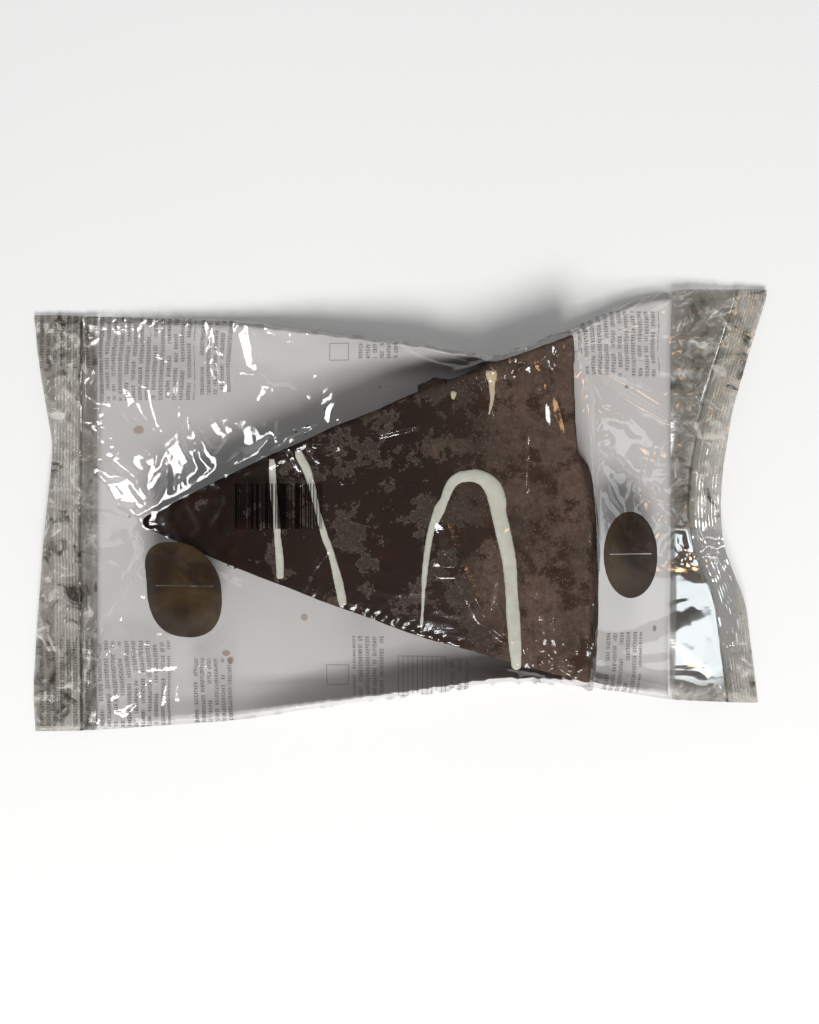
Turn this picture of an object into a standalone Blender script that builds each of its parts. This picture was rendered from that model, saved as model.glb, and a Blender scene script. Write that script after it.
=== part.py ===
"""A wedge of chocolate-coated brownie on a white card, shut in a clear film pack that lies flat.

The pack is one closed solid: the film drawn over the wedge, down to the card's turned-up edges
and out to a ribbed heat seal at each end. Lengths are in metres, +Z is up, +X runs along the pack
from the wedge's tip to its wide end, and the origin is under the pack's middle, on the surface
that it lies on.
"""

import bmesh
import bpy
import numpy as np

# The pack's long sides. Each row is a station along X: the far side (+Y), the near side (-Y),
# the height at which the card's turned-up edge holds the film, and the far and near limits of
# the bed, where the card lies flat.
STATION_X, FAR_SIDE, NEAR_SIDE, RIM_Z, BED_FAR, BED_NEAR = np.array(
    (
        (-0.135, 0.0722, -0.0810, 0.0016, 0.0600, -0.0680),
        (-0.112, 0.0712, -0.0803, 0.0020, 0.0600, -0.0680),
        (-0.060, 0.0694, -0.0762, 0.0065, 0.0570, -0.0640),
        (-0.031, 0.0655, -0.0714, 0.0130, 0.0520, -0.0600),
        (0.006, 0.0603, -0.0660, 0.0185, 0.0500, -0.0575),
        (0.034, 0.0554, -0.0618, 0.0205, 0.0538, -0.0575),
        (0.050, 0.0606, -0.0620, 0.0175, 0.0590, -0.0590),
        (0.064, 0.0672, -0.0632, 0.0130, 0.0642, -0.0616),
        (0.084, 0.0767, -0.0664, 0.0070, 0.0650, -0.0612),
        (0.100, 0.0808, -0.0690, 0.0045, 0.0610, -0.0590),
        (0.135, 0.0812, -0.0705, 0.0020, 0.0560, -0.0540),
    )
).T

# The two cut ends, each a row of points from the near side to the far: y, then x.
LEFT_END_Y, LEFT_END_X = np.array(
    (
        (-0.0810, -0.1340),
        (-0.0660, -0.1350),
        (-0.0200, -0.1312),
        (0.0230, -0.1270),
        (0.0560, -0.1330),
        (0.0725, -0.1348),
    )
).T
RIGHT_END_Y, RIGHT_END_X = np.array(
    (
        (-0.0705, 0.1310),
        (-0.0340, 0.1255),
        (-0.0130, 0.1168),
        (0.0000, 0.1152),
        (0.0150, 0.1163),
        (0.0370, 0.1205),
        (0.0812, 0.1350),
    )
).T
SOFTENING = 0.004

# The ends of the bed, a little inside the ends of the card.
BED_LEFT_X = -0.106
BED_RIGHT_X = 0.094

# The wedge's top edge: a blunt tip, two long sides and a wide end, all bowed outwards.
TIP_FAR = np.array((-0.0907, -0.0022))
TIP_NEAR = np.array((-0.0900, -0.0060))
CORNER_FAR = np.array((0.0610, 0.0625))
CORNER_NEAR = np.array((0.0660, -0.0608))
TIP_BULGE = 0.0006
FAR_BULGE = 0.0030
NEAR_BULGE = 0.0042
BASE_BULGE = 0.0045
WEDGE_TOP_Z = 0.0262

# The seals: their width, their ribs, and how far the middle of each arches off the surface.
SEAL_WIDTH = 0.0108
RIB_PITCH = 0.0018
RIB_HEIGHT = 0.00035
LEFT_SEAL_ARCH = 0.0040
RIGHT_SEAL_ARCH = 0.0075
ARCH_HALF_WIDTH = 0.072

# The film: half the thickness of its two sheets where they meet, and how they sag and climb.
FILM_HALF = 0.0004
TOP_SAG = 1.12
UNDER_CLIMB = 1.5

# Long soft folds in the top film, each from one point to another, with its height and half width.
FOLDS = (
    ((-0.086, 0.006), (-0.116, 0.024), 0.0016, 0.0035),
    ((-0.088, -0.002), (-0.120, 0.004), 0.0014, 0.0030),
    ((-0.086, -0.010), (-0.118, -0.022), 0.0015, 0.0035),
    ((-0.050, 0.022), (-0.108, 0.052), 0.0012, 0.0045),
    ((-0.052, -0.028), (-0.110, -0.060), 0.0016, 0.0045),
    ((-0.010, 0.044), (-0.055, 0.040), 0.0012, 0.0040),
    ((0.064, 0.060), (0.112, 0.070), 0.0018, 0.0045),
    ((0.070, 0.030), (0.108, 0.036), 0.0014, 0.0045),
    ((0.072, 0.004), (0.102, 0.006), 0.0012, 0.0045),
    ((0.070, -0.026), (0.108, -0.034), 0.0014, 0.0045),
    ((0.068, -0.056), (0.114, -0.060), 0.0018, 0.0045),
)

# The mesh: columns between the seals and in each seal, rows over the wedge and on each side of it.
POCKET_COLUMNS = 58
RIB_COLUMNS = 2 * round(SEAL_WIDTH / RIB_PITCH)
CORE_ROWS = 20
SIDE_ROWS = 8
ROWS = 2 * SIDE_ROWS + CORE_ROWS + 1
CORE_MARGIN = 0.0015
LEAST_CORE_HALF = 0.0050


def ease(value):
    """Smooth step from 0 to 1, flat at both ends."""
    value = np.clip(value, 0, 1)
    return value * value * (3 - 2 * value)


def softened(at, places, values):
    """Values read between stations, averaged over a short stretch so that no station shows."""
    shifts = np.linspace(-SOFTENING, SOFTENING, 9)
    return np.mean([np.interp(at + shift, places, values) for shift in shifts], axis=0)


def bowed_line(start, end, bulge, count):
    """Points from start to end, bowed to the right of the way they run. The last is left out."""
    share = np.linspace(0, 1, count, endpoint=False)[:, None]
    along = end - start
    right = np.array((along[1], -along[0])) / np.hypot(*along)
    return start + share * along + 4 * share * (1 - share) * bulge * right


def wedge_outline():
    """The wedge's top edge, anticlockwise from the blunt tip."""
    return np.concatenate(
        (
            bowed_line(TIP_FAR, TIP_NEAR, TIP_BULGE, 3),
            bowed_line(TIP_NEAR, CORNER_NEAR, NEAR_BULGE, 24),
            bowed_line(CORNER_NEAR, CORNER_FAR, BASE_BULGE, 18),
            bowed_line(CORNER_FAR, TIP_FAR, FAR_BULGE, 24),
        )
    )


def bed_outline():
    """The edge of the flat bed, anticlockwise."""
    x = np.linspace(BED_LEFT_X, BED_RIGHT_X, 40)
    near = np.stack((x, softened(x, STATION_X, BED_NEAR)), axis=1)
    far = np.stack((x, softened(x, STATION_X, BED_FAR)), axis=1)
    return np.concatenate((near, far[::-1]))


def distance_to(points, ring):
    """Distance from each point to the closed line through ring, in plan."""
    along = np.roll(ring, -1, axis=0) - ring
    offset = points[:, None, :] - ring
    share = np.clip((offset * along).sum(2) / (along * along).sum(1), 0, 1)
    return np.linalg.norm(offset - share[..., None] * along, axis=2).min(1)


def inside(points, ring):
    """Whether each point is inside the closed line through ring."""
    x, y = points[:, :1], points[:, 1:]
    x0, y0 = ring.T
    x1, y1 = np.roll(ring, -1, axis=0).T
    spans = (y0 > y) != (y1 > y)
    rise = np.where(y1 == y0, 1, y1 - y0)
    return (spans & (x < x0 + (y - y0) * (x1 - x0) / rise)).sum(1) % 2 == 1


def distance_outside(points, ring):
    """Distance from each point to the ring, and 0 for the points inside it."""
    return np.where(inside(points, ring), 0, distance_to(points, ring))


def core_limits(x):
    """Near and far y of the rows that follow the wedge's long sides, and open out past its ends."""
    near_edge = bowed_line(TIP_NEAR, CORNER_NEAR, NEAR_BULGE, 24)
    far_edge = bowed_line(CORNER_FAR, TIP_FAR, FAR_BULGE, 24)[::-1]
    near = np.interp(x, *near_edge.T) - CORE_MARGIN
    far = np.interp(x, *far_edge.T) + CORE_MARGIN
    middle = (far + near) / 2
    half = np.maximum((far - near) / 2, LEAST_CORE_HALF)
    past_tip = ease((TIP_FAR[0] - x) / (TIP_FAR[0] - STATION_X[0]))
    past_base = ease((x - CORNER_FAR[0]) / (STATION_X[-1] - CORNER_FAR[0]))
    opened = past_tip + past_base
    open_near = 0.55 * softened(x, STATION_X, NEAR_SIDE)
    open_far = 0.55 * softened(x, STATION_X, FAR_SIDE)
    return (
        (1 - opened) * (middle - half) + opened * open_near,
        (1 - opened) * (middle + half) + opened * open_far,
    )


def column_shares():
    """Where the columns lie along the pack, from 0 to 1: close together in the seals."""
    seal = SEAL_WIDTH / (STATION_X[-1] - STATION_X[0])
    ribs = np.linspace(0, seal, RIB_COLUMNS, endpoint=False)
    pocket = np.linspace(seal, 1 - seal, POCKET_COLUMNS + 1)
    return np.concatenate((ribs, pocket, 1 - ribs[::-1]))


def grid_rows(x):
    """y of every point of the grid: rows spread between the near side, the core and the far side."""
    near = softened(x, STATION_X, NEAR_SIDE)
    far = softened(x, STATION_X, FAR_SIDE)
    core_near, core_far = core_limits(x)
    knots = (0, SIDE_ROWS, SIDE_ROWS + CORE_ROWS, ROWS - 1)
    lines = (near, core_near, core_far, far)
    y = np.empty_like(x)
    for row in range(ROWS):
        values = [line[:, row] for line in lines]
        band = min(np.searchsorted(knots, row, side="right") - 1, 2)
        share = (row - knots[band]) / (knots[band + 1] - knots[band])
        y[:, row] = values[band] + share * (values[band + 1] - values[band])
    return y


def plan_of_grid():
    """x and y of the grid's points. The columns are bent to the two cut ends."""
    shares = column_shares()[:, None]
    x = np.repeat(STATION_X[0] + shares * (STATION_X[-1] - STATION_X[0]), ROWS, axis=1)
    for _ in range(2):
        y = grid_rows(x)
        start = softened(y, LEFT_END_Y, LEFT_END_X)
        end = softened(y, RIGHT_END_Y, RIGHT_END_X)
        x = start + shares * (end - start)
    return x, y


def rim_height(x, y):
    """Height of the pack's rim: the card's edges along the sides, and the arched seals."""
    left = LEFT_SEAL_ARCH * ease((BED_LEFT_X - x) / (BED_LEFT_X - STATION_X[0]))
    right = RIGHT_SEAL_ARCH * ease((x - BED_RIGHT_X) / (RIGHT_END_X.min() - BED_RIGHT_X))
    return softened(x, STATION_X, RIM_Z) + (left + right) * (1 - ease(np.abs(y) / ARCH_HALF_WIDTH))


def pocket_ring(x, y):
    """The pocket's rim: the two inner lines of the seals and the long sides between them."""
    first, last = RIB_COLUMNS, RIB_COLUMNS + POCKET_COLUMNS
    grid = np.stack((x, y), axis=2)
    near, far = grid[first:last, 0], grid[first + 1 : last + 1, -1][::-1]
    right, left = grid[last, :-1], grid[first, 1:][::-1]
    return np.concatenate((near, right, far, left))


def nearby_rim_height(points, ring):
    """Height of the rim next to each point: a mean over the ring that favours its nearest points."""
    weight = 1 / (np.linalg.norm(points[:, None] - ring, axis=2) + 1e-4) ** 4
    return (weight * rim_height(*ring.T)).sum(1) / weight.sum(1)


def fold_relief(points):
    """Height that the long folds add at each point."""
    relief = np.zeros(len(points))
    for start, end, height, half_width in FOLDS:
        start, along = np.array(start), np.subtract(end, start)
        share = np.clip(((points - start) @ along) / (along @ along), 0, 1)
        across = np.linalg.norm(points - start - share[:, None] * along, axis=1)
        taper = ease(4 * share) * ease(4 * (1 - share))
        relief += height * taper * np.exp(-((across / half_width) ** 2))
    return relief


def rib_wave(columns):
    """The seals' ribs: columns alternately raised and lowered, apart from the outermost ones."""
    count = 2 * RIB_COLUMNS + POCKET_COLUMNS + 1
    from_end = np.minimum(columns, count - 1 - columns)
    in_seal = (from_end > 0) & (from_end < RIB_COLUMNS)
    return np.where(in_seal, RIB_HEIGHT * (1 - 2 * (from_end % 2)), 0)


def sheet_heights(x, y):
    """Heights of the top sheet and the under sheet over the grid."""
    points = np.stack((x.ravel(), y.ravel()), axis=1)
    columns = np.repeat(np.arange(x.shape[0]), ROWS)
    ring = pocket_ring(x, y)
    in_pocket = (columns > RIB_COLUMNS) & (columns < RIB_COLUMNS + POCKET_COLUMNS)
    to_rim = np.where(in_pocket, distance_to(points, ring), 0)
    on_rim = to_rim < 1e-7
    rim = np.where(on_rim, rim_height(*points.T), nearby_rim_height(points, ring))

    to_wedge = distance_outside(points, wedge_outline())
    fall = to_wedge / (to_wedge + to_rim)
    top = WEDGE_TOP_Z - (WEDGE_TOP_Z - rim) * fall**TOP_SAG
    top = top + fold_relief(points) * ease(to_rim / 0.006)

    to_bed = distance_outside(points, bed_outline())
    climb = to_bed / (to_bed + to_rim + 1e-9)
    under = np.maximum(rim * climb**UNDER_CLIMB - FILM_HALF * ease(climb), 0)

    wave = rib_wave(columns)
    top = np.maximum(top + FILM_HALF, under + 2 * FILM_HALF) + wave
    under = np.maximum(under + wave, 0)
    return top.reshape(x.shape), under.reshape(x.shape)


def lay(vertices, x, y, z):
    """Moves the vertices of a two-by-two grid, or of its copy, onto the sheet x, y, z."""
    columns, rows = x.shape
    for vertex in vertices:
        i = round((vertex.co.x + 1) / 2 * (columns - 1))
        j = round((vertex.co.y + 1) / 2 * (rows - 1))
        vertex.co = (x[i, j], y[i, j], z[i, j])


def is_flat(edge):
    """Whether all the faces at an edge lie on the surface that the pack rests on."""
    return all(abs(vertex.co.z) < 1e-9 for face in edge.link_faces for vertex in face.verts)


def pack_mesh():
    """A grid extruded to a slab, whose two sheets are laid on the pack's top and underside."""
    x, y = plan_of_grid()
    top, under = sheet_heights(x, y)
    form = bmesh.new()
    bmesh.ops.create_grid(form, x_segments=x.shape[0] - 1, y_segments=ROWS - 1, size=1)
    under_sheet = form.verts[:]
    extruded = bmesh.ops.extrude_face_region(form, geom=form.faces[:])["geom"]
    lay(under_sheet, x, y, under)
    lay([item for item in extruded if isinstance(item, bmesh.types.BMVert)], x, y, top)
    bmesh.ops.recalc_face_normals(form, faces=form.faces[:])
    flat = [edge for edge in form.edges if is_flat(edge)]
    bmesh.ops.dissolve_edges(form, edges=flat, use_verts=True)
    mesh = bpy.data.meshes.new("sealed_pack")
    form.to_mesh(mesh)
    form.free()
    return mesh


def film_material():
    """Clear, slightly hazy wrapping film."""
    material = bpy.data.materials.new("clear_film")
    material.use_nodes = True
    shader = material.node_tree.nodes["Principled BSDF"]
    shader.inputs["Base Color"].default_value = (0.52, 0.50, 0.47, 1)
    shader.inputs["Roughness"].default_value = 0.15
    shader.inputs["Metallic"].default_value = 0
    return material


def build():
    for old in list(bpy.data.objects):
        bpy.data.objects.remove(old)
    pack = bpy.data.objects.new("sealed_pack", pack_mesh())
    pack.data.materials.append(film_material())
    bpy.context.scene.collection.objects.link(pack)


build()
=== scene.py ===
# %% [markdown]
# # A slice of brownie in its clear pack
#
# The real thing is a wedge of brownie, coated in dark chocolate and crossed by strands of white
# chocolate. It lies on a sheet of white card, and both were slid into a tube of thin clear film
# whose two ends were pressed shut between hot ribbed jaws. This lesson dresses a plain solid of that
# pack. The solid stays where it is. Card, wedge, drizzle and crumbs are built inside its form, and the
# film lies on that form and creases a little above it, slackened by a cloth simulation.

# %% Load the frame
import math

import bmesh
import bpy
import numpy as np
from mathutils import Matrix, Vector, noise
from mathutils.bvhtree import BVHTree


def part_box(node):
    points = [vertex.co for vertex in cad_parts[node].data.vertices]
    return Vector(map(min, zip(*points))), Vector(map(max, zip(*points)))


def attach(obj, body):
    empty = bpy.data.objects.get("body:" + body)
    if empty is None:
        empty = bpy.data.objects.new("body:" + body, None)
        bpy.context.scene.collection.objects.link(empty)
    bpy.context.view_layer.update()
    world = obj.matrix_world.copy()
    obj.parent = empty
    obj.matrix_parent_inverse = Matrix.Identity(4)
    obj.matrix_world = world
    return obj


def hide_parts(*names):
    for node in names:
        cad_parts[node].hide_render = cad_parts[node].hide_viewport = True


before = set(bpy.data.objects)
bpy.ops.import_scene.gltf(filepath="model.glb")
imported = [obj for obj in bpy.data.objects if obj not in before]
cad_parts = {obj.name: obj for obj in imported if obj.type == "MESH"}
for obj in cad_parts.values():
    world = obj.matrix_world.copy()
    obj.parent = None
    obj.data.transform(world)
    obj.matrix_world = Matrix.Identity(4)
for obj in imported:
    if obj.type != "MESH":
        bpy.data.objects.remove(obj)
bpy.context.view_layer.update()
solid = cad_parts["sealed_pack"].data
pack_low, pack_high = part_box("sealed_pack")
MM = 0.001
print("pack, mm:", [round(side / MM, 1) for side in pack_high - pack_low])

# %% [markdown]
# ## The camera
#
# The photograph looks straight down on the pack from about 58 cm. A camera with no rotation looks
# along -Z with +Y up in the picture, which is just that view, so only its place and its lens are
# set. The lens follows from how much of the table the long side of the picture takes in.

# %% Camera
CAMERA_HEIGHT = 0.58
VIEW_LENGTH = 0.3768
VIEW_CENTRE = (0.0031, -0.0004)

camera_data = bpy.data.cameras.new("overhead_camera")
camera_data.sensor_width = 36
camera_data.lens = camera_data.sensor_width * CAMERA_HEIGHT / VIEW_LENGTH
camera = bpy.data.objects.new("overhead_camera", camera_data)
camera.location = (*VIEW_CENTRE, CAMERA_HEIGHT)
bpy.context.scene.collection.objects.link(camera)
bpy.context.scene.camera = camera
print("lens, mm:", round(camera_data.lens, 1))


# %% [markdown]
# ## Meshes in and out
#
# A bmesh is Blender's editable mesh. Each piece is shaped in one, then written to an object that
# sits at the origin with its place in its vertices. Small helpers do that, and others move vertices
# in bulk: numpy works on all the coordinates at once, which is far quicker than a loop.


# %% Helpers for pieces
def finish_piece(name, form, *materials):
    """Writes a bmesh to a new smooth object of that name."""
    mesh = bpy.data.meshes.new(name)
    form.to_mesh(mesh)
    form.free()
    return finish_mesh(name, mesh, *materials)


def finish_mesh(name, mesh, *materials):
    """Puts a mesh in a new object of that name, shaded smooth."""
    piece = bpy.data.objects.new(name, mesh)
    bpy.context.scene.collection.objects.link(piece)
    for material in materials:
        mesh.materials.append(material)
    mesh.shade_smooth()
    return piece


def bake_modifiers(piece):
    """Replaces a piece's mesh by what its modifiers make of it."""
    graph = bpy.context.evaluated_depsgraph_get()
    made = bpy.data.meshes.new_from_object(piece.evaluated_get(graph))
    piece.modifiers.clear()
    piece.data = made
    made.shade_smooth()


def melt(piece, voxel, passes, material):
    """Gives a piece an even skin of small faces, one voxel across, and smooths it."""
    remesh = piece.modifiers.new("skin", "REMESH")
    remesh.mode = "VOXEL"
    remesh.voxel_size = voxel
    soften = piece.modifiers.new("soften", "SMOOTH")
    soften.iterations = passes
    bake_modifiers(piece)
    piece.data.materials.clear()
    piece.data.materials.append(material)


def extruded(form, faces):
    """Extrudes faces where they are, and returns the new vertices, which are moved afterwards."""
    made = bmesh.ops.extrude_face_region(form, geom=faces)["geom"]
    return [item for item in made if isinstance(item, bmesh.types.BMVert)]


# %% Helpers for many points
def points_of(mesh):
    """All of a mesh's vertices, as rows of x, y and z."""
    flat = np.empty(len(mesh.vertices) * 3)
    mesh.vertices.foreach_get("co", flat)
    return flat.reshape(-1, 3)


def set_points(mesh, points):
    """Moves all of a mesh's vertices."""
    mesh.vertices.foreach_set("co", np.asarray(points).ravel())
    mesh.update()


def normals_of(mesh):
    """The normal at each vertex, as rows of x, y and z."""
    flat = np.empty(len(mesh.vertices) * 3)
    mesh.vertex_normals.foreach_get("vector", flat)
    return flat.reshape(-1, 3)


def ease(value):
    """Smooth step from 0 to 1, flat at both ends."""
    value = np.clip(value, 0, 1)
    return value * value * (3 - 2 * value)


def ripple(points, scale, seed=0.0):
    """Smooth noise between about -1 and 1 at each point, with bumps about `scale` metres apart."""
    return np.array([noise.noise(Vector(p) / scale + Vector((seed, 7.1 * seed, 0))) for p in points])


# %% [markdown]
# ## Shader maths as Python
#
# A Blender material is a graph of nodes, and long sums of Math nodes are hard to read. The small
# class below wraps one socket. Its operators add the Math nodes, so 1 - mask or noise * 0.2 can be
# written as such. Every other kind of node comes from its one method, node().


# %% A socket that takes operators
class Wire:
    def __init__(self, tree, socket=None):
        self.tree = tree
        self.socket = socket

    def node(self, kind, values=(), output=0, **settings):
        """Adds a node: first its settings, then values or wires for its sockets, by name or number."""
        made = self.tree.nodes.new("ShaderNode" + kind)
        for name, setting in settings.items():
            setattr(made, name, setting)
        for key, value in dict(values).items():
            if isinstance(value, Wire):
                self.tree.links.new(value.socket, made.inputs[key])
            else:
                made.inputs[key].default_value = value
        return Wire(self.tree, made.outputs[output])

    def maths(self, operation, *values):
        return self.node("Math", enumerate(values), operation=operation)

    def __add__(self, other):
        return self.maths("ADD", self, other)

    def __sub__(self, other):
        return self.maths("SUBTRACT", self, other)

    def __rsub__(self, other):
        return self.maths("SUBTRACT", other, self)

    def __mul__(self, other):
        return self.maths("MULTIPLY", self, other)

    def __truediv__(self, other):
        return self.maths("DIVIDE", self, other)

    def __gt__(self, other):
        return self.maths("GREATER_THAN", self, other)

    def __lt__(self, other):
        return self.maths("LESS_THAN", self, other)

    __radd__ = __add__
    __rmul__ = __mul__


# %% [markdown]
# Colours can't go through Math nodes, which would turn them grey, so a Mix node blends them. The
# other small functions here give noise of a known size in metres, slopes, and colours off a screen.

# %% Masks and colours
def coordinate(place, axis):
    """One coordinate of a vector: axis 0 is x and axis 1 is y."""
    return place.node("SeparateXYZ", {0: place}, output=axis)


def highest(*masks):
    """The largest of several masks at each point."""
    top = masks[0]
    for mask in masks[1:]:
        top = top.maths("MAXIMUM", top, mask)
    return top


def blend(factor, first, second):
    """A colour that goes from first to second as factor goes from 0 to 1."""
    wire = next(item for item in (factor, first, second) if isinstance(item, Wire))
    values = {0: factor, 6: first, 7: second}
    return wire.node("Mix", values, output=2, data_type="RGBA")


def grain(place, size, detail=2.0, rough=0.5):
    """Noise from 0 to 1 whose spots are about `size` metres across."""
    values = {"Vector": place, "Scale": 1 / size, "Detail": detail, "Roughness": rough}
    return place.node("TexNoise", values)


def threshold(wire, low, high):
    """0 below low, 1 above high, and a straight slope between."""
    return wire.node("MapRange", {0: wire, 1: low, 2: high})


# %% Colours and materials
def srgb(*values):
    """A colour as picked off a screen, 0 to 255, turned into the linear colour that nodes use."""
    shares = [value / 255 for value in values]
    return (*[s / 12.92 if s < 0.04045 else ((s + 0.055) / 1.055) ** 2.4 for s in shares], 1)


def new_material(name):
    """A material with its Principled shader, and a wire on its Object coordinates."""
    material = bpy.data.materials.new(name)
    material.use_nodes = True
    start = Wire(material.node_tree)
    place = start.node("TexCoord", output=3)
    return material, material.node_tree.nodes["Principled BSDF"], place


def connect(shader, **values):
    """Sets or links a shader's sockets, their names written with underscores."""
    for name, value in values.items():
        socket = shader.inputs[name.replace("_", " ")]
        if isinstance(value, Wire):
            value.tree.links.new(value.socket, socket)
        else:
            socket.default_value = value


def bumped(height, distance, strength=1.0):
    """A normal that makes light see `height` as relief, `distance` metres deep."""
    return height.node("Bump", {"Strength": strength, "Distance": distance, "Height": height})


# %% [markdown]
# ## Reading the solid
#
# The pieces have to lie inside the solid, so the script asks the solid where its surface is. A
# BVH tree answers that: it says where a ray meets the mesh. Rays sent in from the sides and the
# ends give the outline of the pack, and rays from above and below give the height of its two sheets.

# %% The solid's outline and heights
solid_tree = BVHTree.FromPolygons(
    [vertex.co.copy() for vertex in solid.vertices],
    [face.vertices[:] for face in solid.polygons],
)
RAY_STEP = 0.4 * MM
RAY_START = 0.3
ray_heights = np.arange(RAY_STEP / 2, pack_high.z, RAY_STEP)


def reach(axis, sign, other):
    """How far the pack reaches along an axis (0 for X, 1 for Y) at a place on the other axis."""
    found = []
    for height in ray_heights:
        start = Vector((other, other, height))
        start[axis] = sign * RAY_START
        direction = Vector((0, 0, 0))
        direction[axis] = -sign
        hit = solid_tree.ray_cast(start, direction)[0]
        if hit is not None:
            found.append(hit[axis] * sign)
    return sign * max(found)


def sheet_height(x, y, side):
    """Height of the solid's top (side 1) or underside (side -1) at x, y."""
    hit = solid_tree.ray_cast(Vector((x, y, side * RAY_START)), Vector((0, 0, -side)))[0]
    if hit is None:
        hit = solid_tree.find_nearest(Vector((x, y, (1 + side) * pack_high.z / 4)))[0]
    return hit.z


sheet_heights = np.vectorize(sheet_height)

# %% The outline as curves
side_x = np.arange(pack_low.x + 9 * MM, pack_high.x - 5 * MM, 2 * MM)
near_side = np.array([reach(1, -1, x) for x in side_x])
far_side = np.array([reach(1, 1, x) for x in side_x])
left_y = np.arange(near_side[0] + 1 * MM, far_side[0] - 1 * MM, 2 * MM)
right_y = np.arange(near_side[-1] + 1 * MM, far_side[-1] - 1 * MM, 2 * MM)
left_end = np.array([reach(0, -1, y) for y in left_y])
right_end = np.array([reach(0, 1, y) for y in right_y])


def left_edge(y):
    return np.interp(y, left_y, left_end)


def right_edge(y):
    return np.interp(y, right_y, right_end)


def plan_between(columns, rows, first_of, last_of):
    """x and y of a grid that fills the pack between two lines, each giving x as a function of y."""
    along = np.linspace(0, 1, columns)[:, None]
    across = np.linspace(0, 1, rows)[None, :]
    y = (across - 0.5) * (pack_high.y - pack_low.y) + 0 * along
    for _ in range(4):
        x = first_of(y) + along * (last_of(y) - first_of(y))
        near = np.interp(x, side_x, near_side)
        far = np.interp(x, side_x, far_side)
        y = near + across * (far - near)
    return x, y


print("waist, mm:", round((far_side - near_side).min() / MM, 1))

# %% [markdown]
# ## The wedge of brownie
#
# A round cake cut in eight gives a wedge like this one: a blunt tip, two long cut sides and a
# curved end that was the rim of the cake. It was then dipped in chocolate, which rounds every edge.
# The outline is made from a few corners, each side bowed outwards a little. It is extruded down and
# spread at the foot, its top edge is bevelled, and a voxel remesh turns it into an even skin of
# small faces. Noise then raises and pits that skin as real chocolate over crumb is: smooth near the
# tip, rough near the wide end.

# %% Outline and body of the wedge
TIP_FAR = Vector((-90.7, -2.2)) * MM
TIP_NEAR = Vector((-90.0, -6.0)) * MM
CORNER_FAR = Vector((61.0, 62.5)) * MM
CORNER_NEAR = Vector((66.0, -60.8)) * MM
# The rim end bulges out below a step, as x and y in millimetres.
RIM_POINTS = (
    (66.0, -60.8), (66.8, -45), (67.2, -31), (67.4, -17), (67.1, -3),
    (65.8, 7), (64.2, 14.5), (62.4, 21), (61.7, 32), (61.3, 48), (61.0, 62.5),
)
WEDGE_TOP = 25.2 * MM
WEDGE_FOOT = 1.3 * MM
FOOT_SPREAD = 5.5 * MM
EDGE_ROUNDING = 2.4 * MM
WEDGE_VOXEL = 0.85 * MM


def bowed(start, end, bulge, count):
    """Points from start to end, bowed to the right of the way they run. The last is left out."""
    along = end - start
    right = Vector((along.y, -along.x)).normalized()
    shares = [step / count for step in range(count)]
    return [start + along * s + right * (4 * s * (1 - s) * bulge) for s in shares]


def rim_line(count):
    """Points along the uneven rim end, from the near corner to the far one. The last is left out."""
    y = np.linspace(RIM_POINTS[0][1], RIM_POINTS[-1][1], count, endpoint=False)
    x = np.interp(y, [point[1] for point in RIM_POINTS], [point[0] for point in RIM_POINTS])
    return [Vector((px, py)) * MM for px, py in zip(x, y)]


wedge_outline = (
    bowed(TIP_FAR, TIP_NEAR, 0.8 * MM, 4)
    + bowed(TIP_NEAR, CORNER_NEAR, 4.2 * MM, 40)
    + rim_line(40)
    + bowed(CORNER_FAR, TIP_FAR, 3.0 * MM, 40)
)


# %% Extrude and bevel the wedge
def wedge_block(top, foot, spread=0.0):
    """The wedge's outline as a crisp block between two heights, its rim end spread at the foot."""
    form = bmesh.new()
    lid = form.faces.new([form.verts.new((*point, top)) for point in wedge_outline])
    for vertex in extruded(form, [lid]):
        towards_rim = ease((vertex.co.x - 30 * MM) / (30 * MM))
        below_step = 0.25 + 0.75 * ease((24 * MM - vertex.co.y) / (8 * MM))
        vertex.co.x += spread * float(towards_rim * below_step)
        vertex.co.z = foot
    bmesh.ops.recalc_face_normals(form, faces=form.faces[:])
    return form


def shape_wedge():
    """The wedge's block with its top edge rounded."""
    form = wedge_block(WEDGE_TOP, WEDGE_FOOT, FOOT_SPREAD)
    edges = [e for e in form.edges if all(abs(v.co.z - WEDGE_TOP) < 1e-6 for v in e.verts)]
    bmesh.ops.bevel(
        form, geom=edges, offset=EDGE_ROUNDING, segments=4, profile=0.5,
        affect="EDGES", material=-1, clamp_overlap=True,
    )
    return form


# %% [markdown]
# A rough knob of crumb stuck out of the far side when the wedge was coated. It is a ball of its own
# with its vertices pushed about by noise. The remesh below fuses whatever overlaps, so it needs
# only to be sunk into the side.

# %% Knob on the far side
KNOB_CENTRE = Vector((14.0, 42.6, 17.5)) * MM
KNOB_SIZE = Vector((7.5, 4.6, 6.5)) * MM


def add_knob(form):
    ball = bmesh.ops.create_icosphere(form, subdivisions=4, radius=1)["verts"]
    for vertex in ball:
        lumps = 1 + 0.35 * noise.noise(vertex.co * 2.3) + 0.16 * noise.noise(vertex.co * 5.0)
        vertex.co = KNOB_CENTRE + vertex.co * KNOB_SIZE * lumps
    return form


# %% [markdown]
# Chocolate set over crumb is never even. Broad waves, a finer grain, pits and thin cracks are each one
# layer of noise, added along the vertex normals. They grow towards the rim end, where the coating is
# thin and dull. A bump map alone would leave the outline of the wedge too smooth.

# %% Skin of the wedge
# Each layer: its height at the tip and at the rim end, and the size of its bumps, in millimetres.
SKIN_LAYERS = ((0.45, 0.45, 16.0), (0.12, 0.42, 5.0), (0.0, 0.14, 2.2))
# Depth of the pits at the tip and at the rim end, in millimetres.
PIT_DEPTH = (0.25, 0.75)
PIT_SIZE = 3.4 * MM
CRACK_DEPTH = 0.35 * MM
CRACK_SPACING = 9 * MM


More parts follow.
